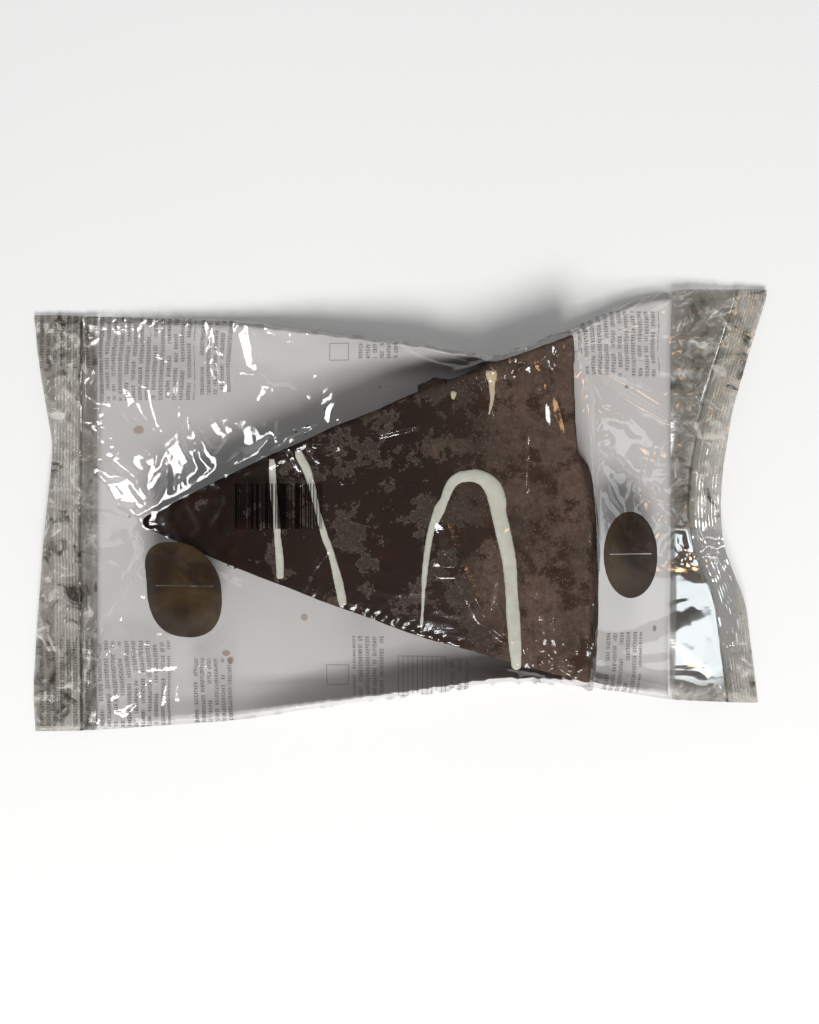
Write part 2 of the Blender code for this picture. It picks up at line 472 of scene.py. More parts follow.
def roughen(mesh):
    """Waves, grain and pits on the wedge, stronger towards the rim end of the cake."""
    points, normals = points_of(mesh), normals_of(mesh)
    rough = ease((points[:, 0] + 5 * MM) / (45 * MM))
    height = np.zeros(len(points))
    for seed, (at_tip, at_rim, size) in enumerate(SKIN_LAYERS, 1):
        height += (at_tip + (at_rim - at_tip) * rough) * MM * ripple(points, size * MM, seed)
    depth = (PIT_DEPTH[0] + (PIT_DEPTH[1] - PIT_DEPTH[0]) * rough) * MM
    height -= depth * ease((ripple(points, PIT_SIZE, 4) - 0.42) / 0.25)
    cracks = np.abs(ripple(points, CRACK_SPACING, 5) + 0.3 * ripple(points, CRACK_SPACING / 3, 6))
    height -= CRACK_DEPTH * rough * (1 - ease(cracks / 0.06))
    foot = ease((points[:, 2] - WEDGE_FOOT) / (2 * MM))
    set_points(mesh, points + normals * (height * foot)[:, None])


def make_wedge(material):
    piece = finish_piece("brownie_wedge", add_knob(shape_wedge()), material)
    melt(piece, WEDGE_VOXEL, 3, material)
    roughen(piece.data)
    piece.data.shade_smooth()
    print("wedge:", len(piece.data.polygons), "faces")
    return piece


# %% [markdown]
# ## Dark chocolate
#
# Where the film clings to the coating it looks almost black and wet, and between those patches a
# pale bloom of cocoa butter and air makes it dull and greyish, like islands on a map. So the colour
# is a mix of browns by two noises, one for the islands and one for fine flecks, and both lean
# towards the dull brown near the rim end. Round the islands the fat has dried to a dust of pale
# dots. Roughness follows the same mask: dark is smooth. The coating mirrors nothing itself, because
# the film above it does, and both together would lay a grey haze on it.

# %% Chocolate material
CHOCOLATE_DARK = srgb(30, 19, 14)
CHOCOLATE_MIDDLE = srgb(46, 36, 31)
CHOCOLATE_BLOOM = srgb(74, 64, 57)
CHOCOLATE_DULL = srgb(99, 82, 73)
CHOCOLATE_RED = srgb(62, 34, 22)
CHOCOLATE_RIM = srgb(66, 50, 42)
CHOCOLATE_DUST = srgb(132, 122, 112)
# Where along X the coating changes: from none of the change to all of it.
RIM_CHANGE = (5 * MM, 45 * MM)
TIP_CHANGE = (-30 * MM, -62 * MM)
SHORE_LEVEL = 0.572


def chocolate_material():
    material, shader, place = new_material("chocolate")
    x = coordinate(place, 0)
    to_rim = threshold(x, *RIM_CHANGE)
    to_tip = threshold(x, *TIP_CHANGE)
    islands = grain(place, 10 * MM, 6, 0.66) + 0.02 + to_rim * 0.14 - to_tip * 0.10
    patches = threshold(islands, 0.565, to_rim * 0.06 + 0.59)
    flecks = threshold(grain(place, 1.6 * MM, 4, 0.7) + to_rim * 0.06, 0.46, 0.66)
    bloom = patches * (flecks * 0.40 + 0.60)
    dull = threshold(grain(place, 18 * MM, 3, 0.6) + to_rim * 0.30, 0.60, 0.80)
    pale = blend(dull, CHOCOLATE_BLOOM, CHOCOLATE_DULL)
    warm = threshold(grain(place, 13 * MM, 4), 0.56, 0.68) * 0.3
    coating = blend(to_tip, CHOCOLATE_MIDDLE, CHOCOLATE_DARK)
    coating = blend(to_rim * 0.85, blend(warm, coating, CHOCOLATE_RED), CHOCOLATE_RIM)
    off_shore = islands.maths("ABSOLUTE", islands - SHORE_LEVEL)
    shore = threshold(off_shore, 0.014, 0.004) * (1 - to_rim)
    base = blend(shore * 0.30, blend(bloom, coating, pale), CHOCOLATE_DUST)
    dust = threshold(place.node("TexVoronoi", {"Vector": place, "Scale": 1 / (1.1 * MM)}), 0.27, 0.15)
    edge = threshold(islands, 0.50, 0.56) * (1 - patches * 0.5)
    speckled = blend(dust * edge * 0.6, base, CHOCOLATE_DUST)
    relief = grain(place, 2.6 * MM, 3) * 0.5 + grain(place, 1.1 * MM, 2) * to_rim * 0.5
    connect(
        shader,
        Base_Color=speckled,
        Roughness=0.34 + bloom * 0.36,
        Normal=bumped(relief, 0.22 * MM, 0.45),
        Specular_IOR_Level=0.0,
    )
    return material


# %% [markdown]
# ## White chocolate drizzle
#
# The drizzle was trailed off a spoon: two thin strands across the wedge, and one that turned back on
# itself in an arch. A trailed strand is thick where the spoon slowed, so each is a curve with its
# own width at every point, bevelled round, flattened, and remeshed so that its beads melt together.

# %% Routes of the strands
# Each point is x and y in millimetres and the strand's width there.
FIRST_STRAND = (
    (-45.3, 18.2, 2.5), (-45.2, 16.2, 2.8), (-45.0, 10.0, 2.7), (-44.7, 5.1, 2.6), (-43.9, 0.0, 2.7),
    (-43.6, -4.7, 2.8), (-43.3, -9.7, 2.6), (-42.8, -15.0, 3.0), (-42.5, -19.6, 3.1), (-42.4, -23.8, 2.6),
)
SECOND_STRAND = (
    (-36.2, 21.4, 2.4), (-35.6, 19.4, 3.2), (-33.3, 15.0, 3.3), (-31.7, 10.1, 2.7), (-30.4, 5.1, 2.4),
    (-29.3, 0.2, 2.2), (-28.0, -4.7, 2.6), (-27.0, -8.2, 2.8), (-24.7, -14.4, 2.5), (-23.8, -17.6, 2.6),
    (-22.0, -24.5, 3.3), (-20.9, -30.0, 3.4), (-20.3, -33.2, 3.0),
)
ARCH = (
    (7.2, -42.8, 1.6), (7.3, -40.0, 1.7), (7.8, -32.3, 1.8), (8.4, -22.4, 2.1), (9.6, -12.6, 2.5),
    (10.8, -6.6, 2.6), (12.3, -2.7, 3.5), (13.8, 0.8, 4.2), (15.5, 4.2, 3.1), (16.8, 7.7, 3.6),
    (19.2, 10.9, 4.0), (23.5, 12.3, 4.3), (28.4, 11.7, 5.2), (32.2, 8.4, 6.6), (33.8, 4.2, 6.7),
    (34.5, -0.7, 5.6), (36.1, -7.6, 5.6), (38.1, -17.5, 5.2), (38.9, -27.4, 4.6), (39.6, -37.2, 5.1),
    (40.2, -47.1, 4.7), (40.7, -53.0, 3.9), (40.9, -54.6, 3.4),
)
DRIP = ((31.8, 49.4, 3.9), (31.9, 47.7, 4.3), (32.1, 44.6, 2.8), (32.2, 39.8, 1.7), (31.1, 33.9, 0.8))
BEAD = ((17.6, 40.6, 2.6), (18.5, 40.7, 3.4), (19.4, 40.4, 2.8))
STRAND_FLATNESS = 0.36
STRAND_VOXEL = 0.35 * MM


# %% Height of the coating under a strand
def signed_inset(x, y):
    """How far inside the wedge's outline a point lies, negative outside it."""
    point = Vector((x, y))
    nearest = 1.0
    crossings = 0
    for start, end in zip(wedge_outline, wedge_outline[1:] + wedge_outline[:1]):
        along = end - start
        share = min(max((point - start).dot(along) / along.length_squared, 0), 1)
        nearest = min(nearest, (point - start - along * share).length)
        if (start.y > y) != (end.y > y):
            crossings += x < start.x + (y - start.y) * along.x / along.y
    return nearest if crossings % 2 else -nearest


def coating_height(x, y):
    """Height of the wedge's rounded top at x, y, falling away over its edge."""
    inset = signed_inset(x, y)
    drop = max(EDGE_ROUNDING - inset, 0)
    if inset < 0:
        return WEDGE_TOP - EDGE_ROUNDING + 2.2 * inset
    return WEDGE_TOP - EDGE_ROUNDING + math.sqrt(max(EDGE_ROUNDING**2 - drop**2, 0))


# %% Make a strand
def strand(name, route, material):
    """A flattened, melted strand along a route of (x, y, width) in millimetres."""
    curve = bpy.data.curves.new(name, "CURVE")
    curve.dimensions = "3D"
    curve.bevel_depth = 1
    curve.bevel_resolution = 4
    curve.resolution_u = 10
    curve.use_fill_caps = True
    spline = curve.splines.new("BEZIER")
    spline.bezier_points.add(len(route) - 1)
    for point, (x, y, width) in zip(spline.bezier_points, route):
        height = coating_height(x * MM, y * MM)
        point.co = (x * MM, y * MM, height / STRAND_FLATNESS)
        point.radius = width * MM / 2
        point.handle_left_type = point.handle_right_type = "AUTO"
    guide = bpy.data.objects.new(name + "_guide", curve)
    bpy.context.scene.collection.objects.link(guide)
    graph = bpy.context.evaluated_depsgraph_get()
    mesh = bpy.data.meshes.new_from_object(guide.evaluated_get(graph))
    bpy.data.objects.remove(guide)
    mesh.materials.clear()
    set_points(mesh, points_of(mesh) * (1, 1, STRAND_FLATNESS))
    piece = finish_mesh(name, mesh, material)
    melt(piece, STRAND_VOXEL, 2, material)
    points, normals = points_of(piece.data), normals_of(piece.data)
    uneven = 0.10 * MM * ripple(points, 2.6 * MM, 11) + 0.05 * MM * ripple(points, 0.9 * MM, 12)
    set_points(piece.data, points + normals * uneven[:, None])
    print(name + ":", len(piece.data.polygons), "faces")
    return piece


# %% [markdown]
# White chocolate is pale, a little yellow and waxy: light enters it and comes out beside where it went
# in. So the shader gets some subsurface scattering, and a slow noise shifts both the colour and the
# gloss. The drip at the far edge is creamier, and gets the same finish in another tint.

# %% White chocolate material
WHITE_CHOCOLATE = srgb(203, 203, 192)
WHITE_CHOCOLATE_SHADE = srgb(188, 186, 172)
CREAM = srgb(196, 178, 140)


def white_chocolate_material(name, colour, shade):
    material, shader, place = new_material(name)
    mottle = threshold(grain(place, 3.5 * MM, 3, 0.5), 0.30, 0.75)
    connect(
        shader,
        Base_Color=blend(mottle, colour, shade),
        Roughness=0.42 + mottle * 0.18,
        Normal=bumped(grain(place, 1.4 * MM, 2), 0.10 * MM, 0.3),
        Subsurface_Weight=0.15,
        Subsurface_Scale=0.8 * MM,
    )
    return material


# %% [markdown]
# ## The card
#
# The wedge lies on an A5 sheet of white card. The tube of film is narrower than the card where the
# wedge lifts it, so it turns the card's long sides up into a shallow trough. The card therefore
# follows the solid's underside: from its middle line the script walks outwards along that surface
# until half the card's width is used up, which keeps the card's true size however much it curls.

# %% Card in its trough
CARD_LEFT = Vector((-111.2, -4.6)) * MM
CARD_RIGHT = Vector((98.3, 3.9)) * MM
CARD_ACROSS = Vector((0.010, 1)).normalized()
CARD_WIDTH = 148 * MM
CARD_THICKNESS = 0.45 * MM
CARD_LIFT = 0.35 * MM
CARD_STEP = 0.9 * MM
CARD_RIM_GAP = 1.5 * MM
CARD_COLUMNS = 106
CARD_HALF_ROWS = 38
WALK_STEP = 0.5 * MM


def card_half(middle, across, limit):
    """Points from the card's middle line out to one long edge, along the solid's underside."""
    reachable = abs(limit - middle.y) - CARD_RIM_GAP
    steps = np.arange(0, reachable, WALK_STEP)
    heights = sheet_heights(middle.x + steps * across.x, middle.y + steps * across.y, -1)
    walked = np.concatenate(([0], np.cumsum(np.hypot(np.diff(steps), np.diff(heights)))))
    marks = np.linspace(0, min(CARD_WIDTH / 2, walked[-1]), CARD_HALF_ROWS + 1)
    out = np.interp(marks, walked, steps)
    x = middle.x + out * across.x
    y = middle.y + out * across.y
    return np.stack((x, y, np.interp(marks, walked, heights) + CARD_LIFT), axis=1)


def card_height(x, y):
    """Height of the card's underside at x, y. It clears the solid's underside a step to each side too."""
    heights = [sheet_heights(x, y + step, -1) for step in (-CARD_STEP, 0, CARD_STEP)]
    return np.max(heights, axis=0) + CARD_LIFT


def card_grid():
    """The card's underside as a grid of points, column by column along the pack."""
    columns = []
    for share in np.linspace(0, 1, CARD_COLUMNS):
        middle = CARD_LEFT.lerp(CARD_RIGHT, share)
        far = card_half(middle, CARD_ACROSS, np.interp(middle.x, side_x, far_side))
        near = card_half(middle, -CARD_ACROSS, np.interp(middle.x, side_x, near_side))
        columns.append(np.concatenate((near[:0:-1], far)))
    return np.array(columns)


# %% A thin slab from two grids
def add_grid(form, grid):
    """Adds a flat grid, two by two, with one vertex for each point of a grid of points."""
    columns, rows = grid.shape[:2]
    return bmesh.ops.create_grid(form, x_segments=columns - 1, y_segments=rows - 1, size=1)["verts"]


def column_and_row(vertex, grid):
    """Which point of a grid a vertex of the flat grid stands for."""
    columns, rows = grid.shape[:2]
    return round((vertex.co.x + 1) / 2 * (columns - 1)), round((vertex.co.y + 1) / 2 * (rows - 1))


def lay(vertices, grid):
    """Moves the vertices of a flat grid, or of its copy, onto a grid of points."""
    for vertex in vertices:
        vertex.co = grid[column_and_row(vertex, grid)]


def closed_outwards(form):
    """Merges points that meet and turns every face of the closed form outwards."""
    bmesh.ops.remove_doubles(form, verts=form.verts[:], dist=0.002 * MM)
    form.normal_update()
    bmesh.ops.recalc_face_normals(form, faces=form.faces[:])
    if form.calc_volume(signed=True) < 0:
        bmesh.ops.reverse_faces(form, faces=form.faces[:])
    return form


def slab(under, top):
    """A closed thin slab between two grids of points, which may meet at the rim."""
    form = bmesh.new()
    under_sheet = add_grid(form, under)
    lay(extruded(form, form.faces[:]), top)
    lay(under_sheet, under)
    return closed_outwards(form)


def make_card(material):
    under = card_grid()
    for _ in range(3):
        under[1:-1, :, 2] = 0.5 * under[1:-1, :, 2] + 0.25 * (under[:-2, :, 2] + under[2:, :, 2])
    under[..., 2] = np.maximum(under[..., 2], card_height(under[..., 0], under[..., 1]))
    form = slab(under, under + (0, 0, CARD_THICKNESS))
    print("card:", len(form.faces), "faces")
    return finish_piece("card", form, material)


# %% [markdown]
# At the waist of the pack the card's sides turn up under the wedge, so its foot can't stay flat there.
# Its lower part is squeezed upwards until it rests on the card. Its top keeps its height.

# %% Foot of the wedge on the card
SQUEEZE_TOP = 20 * MM
FOOT_GAP = 0.2 * MM


def rest_on_card(piece):
    """Squeezes the lower part of a piece upwards where the card rises under it."""
    points = points_of(piece.data)
    lower = points[:, 2] < SQUEEZE_TOP
    x, y, z = points[lower].T
    floor = np.maximum(card_height(x, y) + CARD_THICKNESS + FOOT_GAP, WEDGE_FOOT)
    share = np.clip((z - WEDGE_FOOT) / (SQUEEZE_TOP - WEDGE_FOOT), 0, 1)
    points[lower, 2] = floor + share * (SQUEEZE_TOP - floor)
    set_points(piece.data, points)
    print("foot raised by up to, mm:", round((floor - WEDGE_FOOT).max() / MM, 1))


# %% [markdown]
# The card is plain uncoated board. Its white is slightly uneven, its fibres show as a very fine bump,
# and a few smudges of fat and chocolate lie on it. Each smudge is an ellipse, whose edge is made ragged
# by adding noise to the distance from its centre.

# %% Card material
CARD_WHITE = srgb(206, 203, 201)
CARD_SHADE = srgb(199, 197, 196)
SMUDGE_TAN = srgb(150, 118, 84)
SMUDGE_RED = srgb(142, 88, 56)
SMUDGE_DARK = srgb(70, 50, 38)
SMUDGE_STRENGTH = 0.55
# Each smudge is x, y, half length, half width in millimetres, and a colour.
SMUDGES = (
    (-96.3, 29.8, 2.0, 1.5, SMUDGE_TAN),
    (-64.2, -52.2, 1.6, 1.1, SMUDGE_RED),
    (-62.6, -54.8, 1.2, 1.4, SMUDGE_RED),
    (-77.9, 32.4, 0.5, 0.5, SMUDGE_DARK),
    (82.8, 45.7, 0.7, 0.8, SMUDGE_DARK),
    (93.1, -43.1, 0.7, 1.1, SMUDGE_DARK),
    (-35.5, -39.0, 1.3, 1.3, SMUDGE_TAN),
)


def spot(x, y, centre_x, centre_y, half_x, half_y, ragged):
    """A mask that is 1 inside a ragged ellipse. All lengths are in millimetres."""
    across = (x - centre_x) / half_x
    along = (y - centre_y) / half_y
    return threshold(across * across + along * along + ragged, 1.15, 0.75)


def card_material():
    material, shader, place = new_material("card")
    x, y = coordinate(place, 0) / MM, coordinate(place, 1) / MM
    ragged = grain(place, 1.5 * MM, 3) * 1.2 - 0.6
    colour = blend(grain(place, 30 * MM, 2), CARD_WHITE, CARD_SHADE)
    for centre_x, centre_y, half_x, half_y, tint in SMUDGES:
        mask = spot(x, y, centre_x, centre_y, half_x, half_y, ragged)
        colour = blend(mask * SMUDGE_STRENGTH, colour, tint)
    fibres = grain(place, 0.8 * MM, 4, 0.7)
    connect(
        shader,
        Base_Color=colour,
        Roughness=0.62 + fibres * 0.15,
        Normal=bumped(fibres, 0.05 * MM, 0.4),
        Specular_IOR_Level=0.12,
    )
    return material


# %% [markdown]
# ## The film
#
# The pack is a tube of film about 0.04 mm thick. Its ends were pressed between ribbed jaws, and a
# seam runs along its back. Film hardly stretches, so wherever the tube is wider than what it holds,
# the spare width goes into creases. That is hard to draw by hand and easy to simulate: the top sheet
# starts as the solid's smooth top, its rim is pinned, and every edge is let out by a few percent.
# It then buckles over the wedge as real film does. About a third of the usual gravity is enough.

# %% Grids of the two sheets
SEAL_WIDTH = 10.8 * MM
LEFT_WELD_X = -117.6 * MM
FILM_COLUMNS = 152
FILM_ROWS = 92
UNDER_SHEET_GAP = 0.30 * MM


def left_weld(y):
    """The left seal ends along a straight line, though its cut edge bends."""
    return np.full_like(y, LEFT_WELD_X)


def right_weld(y):
    return right_edge(y) - SEAL_WIDTH


def seal_wave(x, y):
    """How the sealed ends buckle up and down along their length."""
    right = ease((x - 0.09) / 0.02)
    left = ease((-0.11 - x) / 0.01)
    places = np.stack((x.ravel() * 0.3, y.ravel(), x.ravel() * 0), axis=1)
    coarse = ripple(places, 17 * MM, 21).reshape(x.shape)
    fine = ripple(places, 6 * MM, 22).reshape(x.shape)
    return ((0.9 * coarse + 0.45 * fine) * right + (0.55 * coarse + 0.2 * fine) * left) * MM


def sheet_grid(x, y, side):
    """A sheet of the film over a plan: side 1 is the top, -1 the underside, 0 midway."""
    if side == 0:
        z = (sheet_heights(x, y, 1) + sheet_heights(x, y, -1)) / 2
    else:
        z = sheet_heights(x, y, side)
    return np.stack((x, y, z), axis=2)


def film_grids():
    """The film's top and under sheets, which share their rim."""
    x, y = plan_between(FILM_COLUMNS, FILM_ROWS, left_weld, right_weld)
    top, under, middle = (sheet_grid(x, y, side) for side in (1, -1, 0))
    end_gap = np.minimum(np.arange(FILM_COLUMNS), np.arange(FILM_COLUMNS)[::-1])[:, None]
    near_seal = np.exp(-end_gap / 4.0) * np.ones_like(x)
    wave = seal_wave(x, y) * near_seal
    for sheet in (top, under, middle):
        sheet[..., 2] += wave
    rim = np.zeros(x.shape, bool)
    rim[[0, -1], :] = True
    rim[:, [0, -1]] = True
    middle[..., 2] = np.maximum(middle[..., 2], UNDER_SHEET_GAP + 0.1 * MM)
    under[..., 2] = np.maximum(under[..., 2], UNDER_SHEET_GAP)
    top[rim] = middle[rim]
    under[rim] = middle[rim]
    return top, under, rim


film_top, film_under, film_rim = film_grids()
print("film grid:", film_top.shape[:2])

# %% [markdown]
# How much slack each spot gets is a weight on its vertices. There is most beside the narrow tip,
# where the tube is far too wide, less on the flat top of the wedge and at the pack's waist, and
# hardly any at the two wide corners, which stretch the film tight.

# %% Slack of the film
MOST_SLACK = 0.045
TOP_SLACK = 0.18
RIM_SLACK = 0.03
WAIST_SLACK = 0.10
NEAR_SLACK = 0.04
CORNER_SLACK = 0.05


def slack_weights(points):
    """Share of the most slack, from 0 to 1, at each point of the top sheet."""
    over_wedge = ease((points[:, 2] - 24 * MM) / (2 * MM))
    to_rim = ease((points[:, 0] + 10 * MM) / (40 * MM))
    on_top = TOP_SLACK + (RIM_SLACK - TOP_SLACK) * to_rim
    weight = 1 - (1 - on_top) * over_wedge
    beside_wide_end = ease((points[:, 0] + 50 * MM) / (30 * MM)) * ease((72 * MM - points[:, 0]) / (8 * MM))
    weight = np.minimum(weight, 1 - (1 - WAIST_SLACK) * beside_wide_end)
    past_tip = ease((points[:, 0] + 70 * MM) / (20 * MM))
    beside_near_edge = past_tip * ease((-14 * MM - points[:, 1]) / (10 * MM))
    weight = np.minimum(weight, 1 - (1 - NEAR_SLACK) * beside_near_edge)
    for corner in (CORNER_FAR, CORNER_NEAR):
        away = np.hypot(points[:, 0] - corner.x, points[:, 1] - corner.y)
        weight = np.minimum(weight, CORNER_SLACK + (1 - CORNER_SLACK) * ease((away - 4 * MM) / (26 * MM)))
    return weight


# %% Cloth simulation of the top sheet
SETTLE_FRAMES = 26
FILM_GAP = 0.5 * MM
DRIZZLE_HEIGHT = 0.75 * MM


def collision_block():
    """What the film lies on: the wedge, with its drizzle on top."""
    block = finish_piece("film_block", wedge_block(WEDGE_TOP + DRIZZLE_HEIGHT, 1 * MM))
    block.modifiers.new("solid", "COLLISION")
    block.collision.thickness_outer = FILM_GAP
    block.collision.cloth_friction = 20
    return block


def add_cloth(sheet):
    """Light film, pinned by one group of its vertices and let out by the other."""
    cloth = sheet.modifiers.new("cloth", "CLOTH")
    settings = cloth.settings
    settings.quality = 6
    settings.mass = 0.02
    settings.tension_stiffness = settings.compression_stiffness = 40
    settings.shear_stiffness = 20
    settings.bending_model = "ANGULAR"
    settings.bending_stiffness = 0.02
    settings.air_damping = 4
    settings.vertex_group_mass = "pin"
    settings.vertex_group_shrink = "taut"
    settings.shrink_min = -MOST_SLACK
    settings.shrink_max = 0
    settings.effector_weights.gravity = 0.3
    cloth.collision_settings.distance_min = FILM_GAP
    cloth.collision_settings.collision_quality = 3
    cloth.point_cache.frame_end = SETTLE_FRAMES


# %% Let the sheet settle
def settle_film(top, rim):
    """Lets the top sheet out and returns its grid once it has creased."""
    form = bmesh.new()
    add_grid(form, top)
    form.verts.ensure_lookup_table()
    order = [column_and_row(vertex, top) for vertex in form.verts]
    lay(form.verts, top)
    sheet = finish_piece("film_trial", form)
    pin = sheet.vertex_groups.new(name="pin")
    taut = sheet.vertex_groups.new(name="taut")
    weights = slack_weights(points_of(sheet.data))
    for index, place in enumerate(order):
        pin.add([index], float(rim[place]), "REPLACE")
        taut.add([index], float(1 - weights[index]), "REPLACE")
    block = collision_block()
    add_cloth(sheet)
    scene = bpy.context.scene
    for frame_number in range(1, SETTLE_FRAMES + 1):
        scene.frame_set(frame_number)
    bake_modifiers(sheet)
    grid = np.empty_like(top)
    for place, point in zip(order, points_of(sheet.data)):
        grid[place] = point
    bpy.data.objects.remove(sheet)
    bpy.data.objects.remove(block)
    scene.frame_set(1)
    print("film settled, highest point, mm:", round(grid[..., 2].max() / MM, 1))
    return grid


# %% [markdown]
# The simulated sheet is joined to the under sheet at the rim, which makes one closed skin. Only the
# top needs the finer faces, so the coarse under sheet has nothing but its rim edges cut in two. A
# UV map holds the plan of the pack, so that the print lies on the film.

# %% Film as one closed skin
def lay_print(form):
    """Gives the faces their materials, printed above and plain below, and a UV map of the plan."""
    size = pack_high - pack_low
    uv = form.loops.layers.uv.new("print")
    for face in form.faces:
        face.material_index = int(face.normal.z < 0)
        face.smooth = True
        for loop in face.loops:
            place = loop.vert.co - pack_low
            loop[uv].uv = (place.x / size.x, place.y / size.y)


# %% [markdown]
# The cloth is too coarse for the sharpest creases, so those are pressed in afterwards. Some are
# single lines that catch the light in the photograph, each given by the points it runs through. The
# rest is ridged noise, fine all over and strong beside the two seals, where the film is crumpled.

# %% Sharp creases
# Each crease: height and half width in millimetres, then the points that it runs through.
CREASES = (
    (0.7, 1.6, ((-120, -52.3), (-105.6, -52.6), (-95.3, -51.5), (-91.1, -49.3), (-88, -45.6))),
    (0.6, 1.5, ((-79, -47.8), (-70.3, -42.7), (-65.1, -35.3))),
    (0.6, 1.7, ((-95.3, -59.6), (-64.4, -56.7), (-37.5, -50.4), (-8, -43.5))),
    (0.6, 2.2, ((-97, -26), (-94.5, -30), (-91.8, -34))),
    (0.5, 1.6, ((-94, -7), (-90, -9.5), (-86.8, -11.8))),
    (0.5, 1.5, ((-21.2, 31.7), (-7, 26.8), (6.8, 30))),
    (0.5, 1.3, ((-38.2, 20.8), (-35.8, 15.2), (-30.8, 10.9))),
    (0.5, 1.3, ((-31.5, 20.8), (-26.6, 15.2), (-21, 10.2))),
    (1.0, 4.0, ((15.6, -6), (17.8, -13), (19.8, -19.5), (14.5, -19.5))),
    (0.9, 3.2, ((21.5, -21), (25, -28), (29.5, -37))),
    (0.9, 3.4, ((35.5, -8), (33, -16), (35, -24), (34, -33))),
    (0.5, 1.3, ((32.4, -41.8), (39.3, -46.2), (44.2, -47.6), (47.2, -56))),
    (0.6, 3.0, ((46, 50), (52, 38), (57.5, 22))),
    (0.5, 2.0, ((46, 29), (45.6, 18), (45.2, 8))),
    (0.7, 1.3, ((82.3, -3.7), (83.2, 9.6), (86.5, 12.1), (92.6, 8.5), (100.8, -3.7))),
    (0.6, 1.5, ((100.4, 35.3), (96, 29), (92, 22), (90, 12.9))),
    (0.6, 2.0, ((-63.5, 55.5), (-61, 51), (-59.5, 46.5))),
)


# %% Raise the creases
def distance_to_line(points, line):
    """Distance in plan from each point to a line through several places."""
    nearest = np.full(len(points), 1.0)
    for start, end in zip(line, line[1:]):
        start, end = np.array(start) * MM, np.array(end) * MM
        along = end - start
        share = np.clip((points[:, :2] - start) @ along / (along @ along), 0, 1)
        gap = points[:, :2] - start - share[:, None] * along
        nearest = np.minimum(nearest, np.hypot(gap[:, 0], gap[:, 1]))
    return nearest


def crease_height(points):
    """Height of the single creases: a sharp crest with sides that flatten out."""
    height = np.zeros(len(points))
    for crest, half_width, line in CREASES:
        side = np.clip(1 - distance_to_line(points, line) / (half_width * MM), 0, 1)
        height = np.maximum(height, crest * MM * side**1.1)
    return height


def crinkle_height(points):
    """Ridged noise, crossing lines of small creases, strong beside the seals."""
    crumpled_far = 0.08 + 0.92 * ease((points[:, 1] - 2 * MM) / (14 * MM))
    right = ease((points[:, 0] - 94 * MM) / (10 * MM)) * crumpled_far
    ends = right + 0.8 * ease((-108 * MM - points[:, 0]) / (8 * MM))
    broad = 1 - 3.5 * np.abs(ripple(points, 9 * MM, 31))
    fine = 1 - 3.5 * np.abs(ripple(points, 4.5 * MM, 32))
    broad_share = (0.07 + 0.60 * ends) * np.clip(broad, 0, 1)
    fine_share = (0.03 + 0.30 * ends) * np.clip(fine, 0, 1)
    return (broad_share + fine_share) * MM


def off_the_rim(points):
    """0 at the film's rim, 1 from a few millimetres inside it."""
    side = np.minimum(
        np.interp(points[:, 0], side_x, far_side) - points[:, 1],
        points[:, 1] - np.interp(points[:, 0], side_x, near_side),
    )
    end = np.minimum(points[:, 0] - LEFT_WELD_X, right_weld(points[:, 1]) - points[:, 0])
    return ease(np.minimum(side, end) / (2.5 * MM))


def crease(mesh):
    """Raises the creases on the upper sheet. Nothing moves near the rim."""
    points, normals = points_of(mesh), normals_of(mesh)
    upward = ease((normals[:, 2] + 0.1) / 0.4)
    height = crease_height(points) + crinkle_height(points)
    set_points(mesh, points + normals * (height * upward * off_the_rim(points))[:, None])


# %% [markdown]
# The simulated grid is refined before it is used. Each added point lies on a smooth curve through its
# neighbours, as in a subdivision surface, but the simulated points stay where they are. Over the rim
# end of the wedge the film is stretched tight, so it is mixed back with the smooth sheet there.

# %% Make the film
TAUT_SHARE = 0.82


def finer(grid):
    """Twice as many rows and columns, set on smooth curves through every point."""
    for axis in (0, 1):
        rows = np.moveaxis(grid, axis, 0)
        before, after = 2 * rows[:1] - rows[1:2], 2 * rows[-1:] - rows[-2:-1]
        wide = np.concatenate((before, rows, after))
        made = np.empty((2 * len(rows) - 1, *rows.shape[1:]))
        made[::2] = rows
        made[1::2] = (9 * (wide[1:-2] + wide[2:-1]) - wide[:-3] - wide[3:]) / 16
        grid = np.moveaxis(made, 0, axis)
    return grid


def straighten_rim(grid):
    """Puts every second point of the four rim lines midway between its neighbours."""
    for line in (grid[0], grid[-1], grid[:, 0], grid[:, -1]):
        line[1::2] = (line[:-1:2] + line[2::2]) / 2


def film_skin(top, under):
    """A fine top sheet and a coarser under sheet, joined all round their rim."""
    form = bmesh.new()
    lay(add_grid(form, under), under)
    rim = [edge for edge in form.edges if edge.is_boundary]
    bmesh.ops.subdivide_edges(form, edges=rim, cuts=1)
    lay(add_grid(form, top), top)
    return closed_outwards(form)


def pulled_tight(creased, smooth):
    """Flattens the film again where the broad rim end of the wedge holds it taut."""
    x, y = smooth[..., 0], smooth[..., 1]
    along = ease((x - 16 * MM) / (30 * MM)) * ease((70 * MM - x) / (5 * MM))
    across = ease((y + 62 * MM) / (10 * MM)) * ease((60 * MM - y) / (12 * MM))
    share = (TAUT_SHARE * along * across)[..., None]
    return creased + share * (smooth - creased)


def make_film(materials):
    creased = settle_film(film_top, film_rim)
    top = finer(pulled_tight(creased, film_top))
    straighten_rim(top)
    form = film_skin(top, film_under)
    lay_print(form)
    piece = finish_piece("film", form, *materials)
    crease(piece.data)
    piece.data.calc_loop_triangles()
    print("film:", len(piece.data.loop_triangles), "triangles")
    return piece
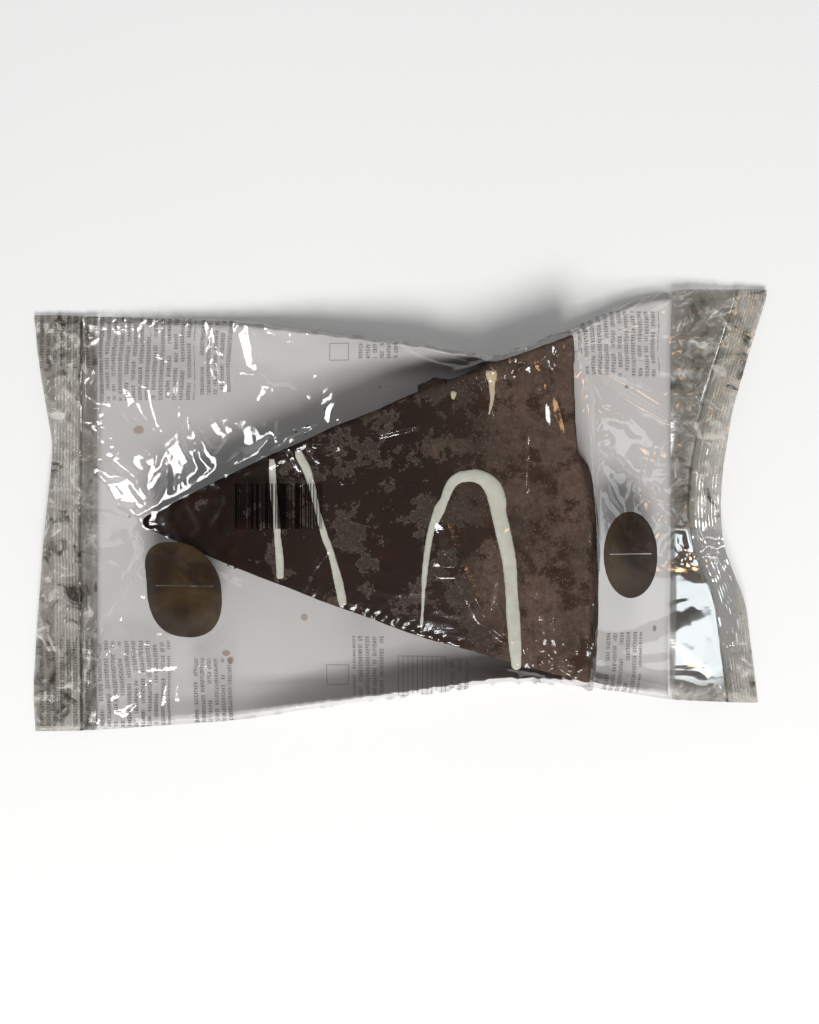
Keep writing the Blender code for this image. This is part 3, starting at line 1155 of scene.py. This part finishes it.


# %% [markdown]
# ## Clear film
#
# Thin film isn't a block of glass. Light goes straight through it, and only a small share is mirrored,
# more where it is seen at a slant. So the shader mixes a transparent part and a mirror, with Layer
# Weight for the slant, and there is no refraction. Faint streaks along the tube break the mirror up.
# Crumpled film at the ends looks grey and silvery, so a thin grey cover is laid over it there,
# with painted pale highlights and painted dark shade along its folds for the silvery sheen.

# %% Film material
FILM_TINT = (0.955, 0.95, 0.94, 1)
SEAM_TINT = (0.995, 0.995, 0.99, 1)
FILM_VEIL = 0.003
FILM_GLOSS = 0.08
END_GLOSS = 0.16
WINDOW_GLOSS = 0.38
SEAL_GLOSS = 0.02
SEAM_GLOSS = 0.02
SMOKE_GREY = srgb(112, 105, 91)
SMOKE_PAINTED_SHADE = srgb(62, 58, 50)
SMOKE_PAINTED_HIGHLIGHT = srgb(214, 211, 202)
VEIL_WHITE = srgb(225, 224, 220)
MIRROR_WHITE = (0.95, 0.95, 0.95, 1)


def film_shader(start, tint, gloss, cover_colour, cover_mask):
    """Clear film, a mirror where light grazes it, under a cover of ink or haze where masked."""
    see_through = start.node("BsdfTransparent", {"Color": tint})
    drawn = start.node("Mapping", {"Vector": start, "Scale": (0.07, 1.0, 1.0)})
    streaks = bumped(grain(drawn, 0.9 * MM, 2), 0.03 * MM, 0.6)
    mirror = start.node(
        "BsdfPrincipled",
        {"Base Color": MIRROR_WHITE, "Metallic": 1.0, "Roughness": 0.11, "Normal": streaks},
    )
    slant = start.node("LayerWeight", {"Blend": 0.5}, output=1)
    glance = slant * slant * slant * slant * 0.5 + gloss
    clear = start.node("MixShader", {0: glance, 1: see_through, 2: mirror})
    cover = start.node(
        "BsdfPrincipled", {"Base Color": cover_colour, "Roughness": 0.4, "Specular IOR Level": 0.0}
    )
    whole = start.node("MixShader", {0: cover_mask, 1: clear, 2: cover})
    output = start.tree.nodes["Material Output"]
    start.tree.links.new(whole.socket, output.inputs["Surface"])


# %% [markdown]
# Masks say where on the film a finish belongs. They read Object coordinates, so each stays on its
# place on the pack from every side: beyond the card, in the bright window, and on the pressed end.

# %% Masks on the film
# Where beyond each short edge of the card the change starts and ends.
RIGHT_CHANGE = (98.5 * MM, 99.2 * MM)
LEFT_CHANGE = (-111.2 * MM, -111.9 * MM)
# Centre and half size of the bright window, in millimetres.
WINDOW_CENTRE = (108, -34)
WINDOW_HALF = (15, 30)
# Size of the painted folds, and the noise levels over which their painted highlight and painted shade come
# in.
FOLD_SIZE = 8 * MM
PAINTED_HIGHLIGHT_FOLD = (0.54, 0.66)
PAINTED_SHADE_FOLD = (0.44, 0.34)


def beyond_card(place):
    """1 beyond the card's two short edges, where the film is seen against the table alone."""
    x = coordinate(place, 0)
    return threshold(x, *RIGHT_CHANGE) + threshold(x, *LEFT_CHANGE)


def window(place):
    """1 in the field at the right end where the film lies smooth, clear and bright."""
    total = 0
    for axis in (0, 1):
        away = (coordinate(place, axis) / MM - WINDOW_CENTRE[axis]) / WINDOW_HALF[axis]
        total = away * away * away * away + total
    return threshold(total, 1.2, 0.5) * beyond_card(place)


def folds(place):
    """Swirled noise that places the painted highlights and painted shade of small folds on the crumpled
    ends.
    """
    values = {"Vector": place, "Scale": 1 / FOLD_SIZE, "Detail": 5.0, "Roughness": 0.6, "Distortion": 0.8}
    return place.node("TexNoise", values)


def end_smoke_and_painted_folds(place):
    """The grey cover of the crumpled ends, in clouds and painted pale and dark folds, none of it in the
    window.
    """
    cloud = grain(place, 9 * MM, 3, 0.6) * 0.36 + 0.08
    painted_fold_crests = threshold(folds(place), *PAINTED_HIGHLIGHT_FOLD) + threshold(folds(place), *PAINTED_SHADE_FOLD)
    return beyond_card(place) * (cloud + painted_fold_crests * 0.34) * (1 - window(place))


def smoke_and_painted_fold_colour(place):
    """Grey with painted highlights and painted shade on folds side by side, and painted highlights on the
    rib crests where a seal has them.
    """
    rib = place.node("Attribute", output=2, attribute_name="rib")
    grey = blend(rib * 0.6, SMOKE_GREY, SMOKE_PAINTED_HIGHLIGHT)
    grey = blend(threshold(folds(place), *PAINTED_SHADE_FOLD), grey, SMOKE_PAINTED_SHADE)
    return blend(threshold(folds(place), *PAINTED_HIGHLIGHT_FOLD), grey, SMOKE_PAINTED_HIGHLIGHT)


def pressed_end(place):
    """1 on the left seal, which was pressed so hard that it hardly shines."""
    return threshold(coordinate(place, 0), LEFT_WELD_X + 1 * MM, LEFT_WELD_X)


# %% Four kinds of film
def film_material(name, kind):
    """Film of one kind: printed, plain, seal or seam."""
    material, shader, place = new_material(name)
    material.node_tree.nodes.remove(shader)
    shine = window(place) * WINDOW_GLOSS + FILM_GLOSS
    if kind == "printed":
        film_shader(place, FILM_TINT, shine * (1 - pressed_end(place) * 0.85), *film_print(place))
    elif kind == "plain":
        shine = shine + beyond_card(place) * END_GLOSS
        film_shader(place, FILM_TINT, shine, smoke_and_painted_fold_colour(place), end_smoke_and_painted_folds(place))
    elif kind == "seal":
        film_shader(place, FILM_TINT, SEAL_GLOSS, smoke_and_painted_fold_colour(place), end_smoke_and_painted_folds(place) * 1.4)
    else:
        film_shader(place, SEAM_TINT, SEAM_GLOSS, VEIL_WHITE, FILM_VEIL)
    return material


# %% [markdown]
# ## The print
#
# Small grey rows run across the film at its ends and sides, with two dark brown badges and a field
# of bars. None of it can be read here: the rows are bands broken into dashes by noise, the bars
# come from a rule, and the badges are plain shapes crossed by a thin line.

# %% Places on the print
INK_GREY = srgb(52, 50, 48)
INK_BLACK = srgb(9, 7, 6)
BADGE_BROWN = srgb(38, 27, 19)
BADGE_OLIVE = srgb(66, 52, 32)
ROW_PITCH = 2.5
# Fields of rows, as the x and y of two corners in millimetres on the film.
ROW_FIELDS = (
    (-110.5, 40, -74.5, 71),
    (-73, 42, -61, 71),
    (-133, 52, -111, 72),
    (-133, -79, -84, -47),
    (-75, -77, -60, -53),
    (-16, 54, -1, 60),
    (-17, -66, -6, -44),
    (17, -66, 24, -52),
    (65, 48, 93, 72),
    (72, -66, 86, -43),
)
ROW_SHARE = 0.60
LETTER_PITCH = 0.95
LETTER_SHARE = 0.72
WORD_LEVEL = 0.40
STROKE_LEVEL = 0.47
FRAMES = (
    (-25.5, 53.5, -18.5, 60),
    (-26.5, -62, -18.5, -54.5),
    (-1, -66, 16, -51),
)
LINE = 0.3
TABLE_PITCH = 1.7
BAR_FIELD = (-58.0, -6.3, -27.5, 9.6)
BAR_PITCH = 0.36
# Each badge: its centre, its half width and height, the squareness of its outline, and its lean.
LEFT_BADGE = (-77.2, -28.3, 13.6, 17.4, 2.5, 3.4)
RIGHT_BADGE = (81.6, -15.6, 10.3, 15.3, 2.0, 0.0)
# The thin line across each badge, as the x and y of two corners.
BADGE_LINES = ((-87.7, -26.9, -66.7, -26.55), (73.6, -15.5, 89.6, -15.15))


# %% Shapes of the print
def inside_box(x, y, low_x, low_y, high_x, high_y):
    """A mask that is 1 inside a box."""
    return (x > low_x) * (x < high_x) * (y > low_y) * (y < high_y)


def badge(x, y, centre_x, centre_y, half_x, half_y, power, lean):
    """A mask that is 1 inside a rounded badge. Its upper part leans left by `lean`."""
    up = (y - centre_y) / half_y
    shift = up.maths("MAXIMUM", up, 0.0) * up * lean
    across = (x - centre_x + shift) / half_x
    across = across.maths("ABSOLUTE", across)
    along = up.maths("ABSOLUTE", up)
    size = across.maths("POWER", across, power) + along.maths("POWER", along, power)
    return size < 1


def flat_noise(x, y):
    """Noise in a plane, from two wires."""
    place = x.node("CombineXYZ", {0: x, 1: y, 2: 0.0})
    return x.node("TexNoise", {"Vector": place, "Scale": 1.0, "Detail": 1.0})


def letter_rows(x, y):
    """Rows of small marks that read as lines of print from a distance and as nothing close by."""
    row = x / ROW_PITCH
    in_row = row.maths("FRACT", row) < ROW_SHARE
    words = flat_noise(row.maths("FLOOR", row) * 3.7, y * 0.22) > WORD_LEVEL
    letter = y / LETTER_PITCH
    in_letter = letter.maths("FRACT", letter) < LETTER_SHARE
    strokes = flat_noise(x * 2.6, y * 2.9) > STROKE_LEVEL
    fields = highest(*[inside_box(x, y, *field) for field in ROW_FIELDS])
    return fields * in_row * words * in_letter * strokes


def outlines(x, y):
    """Thin outlined boxes, two squares and a table."""
    masks = []
    for low_x, low_y, high_x, high_y in FRAMES:
        outer = inside_box(x, y, low_x, low_y, high_x, high_y)
        inner = inside_box(x, y, low_x + LINE, low_y + LINE, high_x - LINE, high_y - LINE)
        masks.append(outer - inner)
    low_x, low_y, high_x, high_y = FRAMES[-1]
    line = (x - low_x) / TABLE_PITCH
    in_table = inside_box(x, y, low_x, low_y, high_x, high_y)
    ruled = (line.maths("FRACT", line) < LINE / TABLE_PITCH) * in_table
    return highest(*masks, ruled)


# %% Bars and badges
def barred_field(x, y):
    """Bars whose widths come from a rule: each narrow column is inked or not by chance."""
    bar = x / BAR_PITCH
    inked = bar.node("TexWhiteNoise", {"W": bar.maths("FLOOR", bar)}, noise_dimensions="1D") > 0.5
    return inked * inside_box(x, y, *BAR_FIELD)


def badges_on_film(x, y):
    """Both badges, each with the thin line across it left out."""
    shapes = highest(badge(x, y, *LEFT_BADGE), badge(x, y, *RIGHT_BADGE))
    lines = highest(*[inside_box(x, y, *line) for line in BADGE_LINES])
    return shapes * (1 - lines * 0.7)


# %% Print and haze together
def film_print(place):
    """The colour of the film's cover, and the mask of where it covers."""
    uv = place.node("UVMap", uv_map="print")
    size = (pack_high - pack_low) / MM
    x = coordinate(uv, 0) * size.x + pack_low.x / MM
    y = coordinate(uv, 1) * size.y + pack_low.y / MM
    bars = barred_field(x, y)
    badges = badges_on_film(x, y)
    ink = highest(letter_rows(x, y) * 0.72, outlines(x, y) * 0.5, bars * 0.88)
    smoke_and_painted_folds = end_smoke_and_painted_folds(place)
    haze = highest(grain(place, 25 * MM, 3) * (2 * FILM_VEIL), smoke_and_painted_folds)
    brown = blend(threshold(grain(place, 16 * MM, 3), 0.42, 0.66), BADGE_BROWN, BADGE_OLIVE)
    # Beyond the card the cover is grey, with painted highlights and painted shade on its folds.
    colour = blend(smoke_and_painted_folds > 0.02, VEIL_WHITE, smoke_and_painted_fold_colour(place))
    colour = blend(ink > 0.1, colour, INK_GREY)
    colour = blend(bars > 0.1, colour, INK_BLACK)
    return blend(badges > 0.2, colour, brown), highest(ink, badges * 0.94, haze)


# %% [markdown]
# ## The ribbed end seals
#
# The jaws press both sheets of film into one flat strip with fine ribs. Each strip is a grid laid
# between the seal's inner and outer edge, waved by a cosine for the ribs and by the same slow
# buckling as the film that it holds, and given a little thickness.

# %% End seals
RIB_PITCH = 1.15 * MM
RIB_HEIGHT = 0.08 * MM
SEAL_CRUMPLE = 0.30 * MM
SEAL_OVERLAP = 0.9 * MM
SEAL_THICKNESS = 0.16 * MM
SEAL_COLUMNS = 76
SEAL_ROWS = 150


def rib_height(x, y, right):
    """Height of the ribs: they follow the right cut edge, but stay straight at the left end."""
    if right:
        across = right_edge(y) - x
        band = ease(across / (1.2 * MM)) * ease((SEAL_WIDTH - 1 * MM - across) / (1 * MM))
    else:
        across = x - LEFT_WELD_X
        band = ease(-across / (1 * MM)) * ease((across + 9.8 * MM) / (1 * MM))
    return RIB_HEIGHT * band * (0.5 - 0.5 * np.cos(2 * np.pi * across / RIB_PITCH))


def seal_crumple(x, y):
    """Small sharp folds that break the strip up."""
    places = np.stack((x.ravel(), y.ravel() * 0.8, x.ravel() * 0), axis=1)
    folds = np.clip(1 - 3.0 * np.abs(ripple(places, 5 * MM, 41)), 0, 1)
    return SEAL_CRUMPLE * folds.reshape(x.shape)


def make_seal(name, outer_edge, weld, overlap, materials):
    """A ribbed strip from the pack's cut end to just past the line where its sheets part."""
    x, y = plan_between(SEAL_COLUMNS, SEAL_ROWS, outer_edge, lambda at: weld(at) + overlap)
    edges = sheet_grid(x[[0, -1]], y[[0, -1]], 0)[..., 2]
    share = np.linspace(0, 1, SEAL_COLUMNS)[:, None]
    z = edges[0] + share * (edges[1] - edges[0])
    z = np.maximum(z + seal_wave(x, y), UNDER_SHEET_GAP + 0.1 * MM)
    right = outer_edge is right_edge
    z = z + rib_height(x, y, right) + seal_crumple(x, y)
    middle = np.stack((x, y, z), axis=2)
    half = np.array((0, 0, SEAL_THICKNESS / 2))
    form = slab(middle - half, middle + half)
    lay_print(form)
    piece = finish_piece(name, form, *materials)
    points = points_of(piece.data)
    # The shader reads this rib height to paint a pale highlight along each rib crest.
    ribs = piece.data.attributes.new("rib", "FLOAT", "POINT")
    ribs.data.foreach_set("value", rib_height(points[:, 0], points[:, 1], right) / RIB_HEIGHT)
    print(name + ":", len(piece.data.polygons), "faces")
    return piece


# %% [markdown]
# ## Back seam
#
# The tube was closed along its back by a narrow strip pressed flat against it. It shows as a thin
# line through the clear film at both ends of the card.

# %% Back seam
SEAM_LEFT = Vector((-124.0, -0.5)) * MM
SEAM_RIGHT = Vector((112.0, 1.8)) * MM
SEAM_WIDTH = 9 * MM
SEAM_BELOW_FILM = 0.12 * MM
SEAM_THICKNESS = 0.06 * MM
SEAM_COLUMNS = 120
SEAM_ROWS = 9


def make_back_seam(material):
    along = np.linspace(0, 1, SEAM_COLUMNS)[:, None]
    across = np.linspace(-0.5, 0.5, SEAM_ROWS)[None, :]
    x = SEAM_LEFT.x + along * (SEAM_RIGHT.x - SEAM_LEFT.x) + 0 * across
    y = SEAM_LEFT.y + along * (SEAM_RIGHT.y - SEAM_LEFT.y) + SEAM_WIDTH * across
    z = np.maximum(sheet_heights(x, y, -1) - SEAM_BELOW_FILM, SEAM_BELOW_FILM)
    under = np.stack((x, y, z), axis=2)
    return finish_piece("back_seam", slab(under, under + (0, 0, SEAM_THICKNESS)), material)


# %% [markdown]
# ## Crumbs
#
# A few crumbs have broken off and lie on the card beside the wedge. Each is a small ball of eighty
# faces pushed out of round, and a seeded random draw places them, so they are the same every time.

# %% Crumbs
CRUMB_COUNT = 16
CRUMB_SIZES = (0.15, 0.5)
CRUMB_SEED = 5


def make_crumbs(material):
    draw = np.random.default_rng(CRUMB_SEED)
    form = bmesh.new()
    placed = 0
    while placed < CRUMB_COUNT:
        x = draw.uniform(-100, 92) * MM
        y = draw.uniform(-55, 50) * MM
        gap = -signed_inset(x, y)
        if not 1.5 * MM < gap < 9 * MM:
            continue
        if sheet_height(x, y, -1) > 1.5 * MM:
            continue
        size = draw.uniform(*CRUMB_SIZES) * MM
        base = card_height(x, y) + CARD_THICKNESS + 0.5 * size
        ball = bmesh.ops.create_icosphere(form, subdivisions=2, radius=1)["verts"]
        for vertex in ball:
            lumps = 1 + 0.5 * noise.noise(vertex.co * 1.7 + Vector((placed, 0, 0)))
            vertex.co = Vector((x, y, base)) + vertex.co * size * lumps
        placed += 1
    return finish_piece("crumbs", form, material)


# %% [markdown]
# ## Putting it together
#
# Every piece rides on the one body, and the film stands for the solid, which is then hidden.

# %% Make the pieces
chocolate = chocolate_material()
white = white_chocolate_material("white_chocolate", WHITE_CHOCOLATE, WHITE_CHOCOLATE_SHADE)
cream = white_chocolate_material("cream_chocolate", CREAM, WHITE_CHOCOLATE_SHADE)
printed_film = film_material("printed_film", "printed")
plain_film = film_material("plain_film", "plain")
seal_film = film_material("seal_film", "seal")
seam_film = film_material("seam_film", "seam")

wedge = make_wedge(chocolate)
rest_on_card(wedge)
pieces = {
    "chocolate": [wedge, make_crumbs(chocolate)],
    "white_chocolate": [
        strand("first_strand", FIRST_STRAND, white),
        strand("second_strand", SECOND_STRAND, white),
        strand("arch_strand", ARCH, white),
        strand("cream_drip", DRIP, cream),
        strand("cream_bead", BEAD, cream),
    ],
    "card": [make_card(card_material())],
    "clear_film": [
        make_film((printed_film, plain_film)),
        make_seal("left_seal", left_edge, left_weld, SEAL_OVERLAP, (printed_film, seal_film)),
        make_seal("right_seal", right_edge, right_weld, -SEAL_OVERLAP, (printed_film, seal_film)),
        make_back_seam(seam_film),
    ],
}
for slot_name, members in pieces.items():
    for piece in members:
        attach(piece, "root")
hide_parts("sealed_pack")
print("pieces:", sum(len(members) for members in pieces.values()))

# %% [markdown]
# ## Floor and light
#
# The floor is plain and pale. A wide soft lamp and the sky light the pack, and a few small strong
# lamps stand around it only to be mirrored in the film. The soft lamp and the sky don't show in
# mirrors, or they would lay a white haze over the dark chocolate.

# %% Floor
def make_floor():
    form = bmesh.new()
    bmesh.ops.create_grid(form, x_segments=8, y_segments=8, size=3)
    material, shader, place = new_material("floor")
    tone = blend(grain(place, 0.4, 2), srgb(238, 237, 235), srgb(232, 231, 229))
    connect(shader, Base_Color=tone, Roughness=0.7, Specular_IOR_Level=0.1)
    floor = finish_piece("floor", form, material)


def lamp(name, place, size, power, colour=(1, 1, 1), sparkle=True):
    """A square lamp aimed at the pack. One that sparkles is only mirrored, and lights nothing."""
    data = bpy.data.lights.new(name, "AREA")
    data.size = size
    data.energy = power
    data.color = colour
    light = bpy.data.objects.new(name, data)
    light.location = place
    light.rotation_euler = Vector(place).to_track_quat("Z", "Y").to_euler()
    light.visible_glossy = sparkle
    light.visible_diffuse = not sparkle
    bpy.context.scene.collection.objects.link(light)
    return light


make_floor()

# %% Lamps and sky
lamp("key_lamp", (0.12, -1.15, 1.45), 0.75, 36.0, sparkle=False)
lamp("ceiling_glint", (0.02, -0.20, 0.80), 0.08, 0.24)
lamp("arch_glint", (-0.32, 0.03, 0.60), 0.18, 1.5)
lamp("left_glint", (-0.50, 0.50, 0.22), 0.26, 2.9)
lamp("window_glint", (0.67, -0.07, 0.33), 0.36, 0.80, (0.90, 0.97, 1.0))
lamp("warm_glint", (0.40, 0.20, 0.56), 0.13, 0.36, (1.0, 0.56, 0.28))
lamp("low_warm_glint", (0.62, 0.26, 0.30), 0.08, 0.14, (1.0, 0.56, 0.28))

world = bpy.data.worlds.new("sky")
world.use_nodes = True
connect(world.node_tree.nodes["Background"], Color=(0.80, 0.82, 0.85, 1), Strength=0.44)
world.cycles_visibility.glossy = False
bpy.context.scene.world = world
bpy.context.scene.view_settings.view_transform = "Standard"
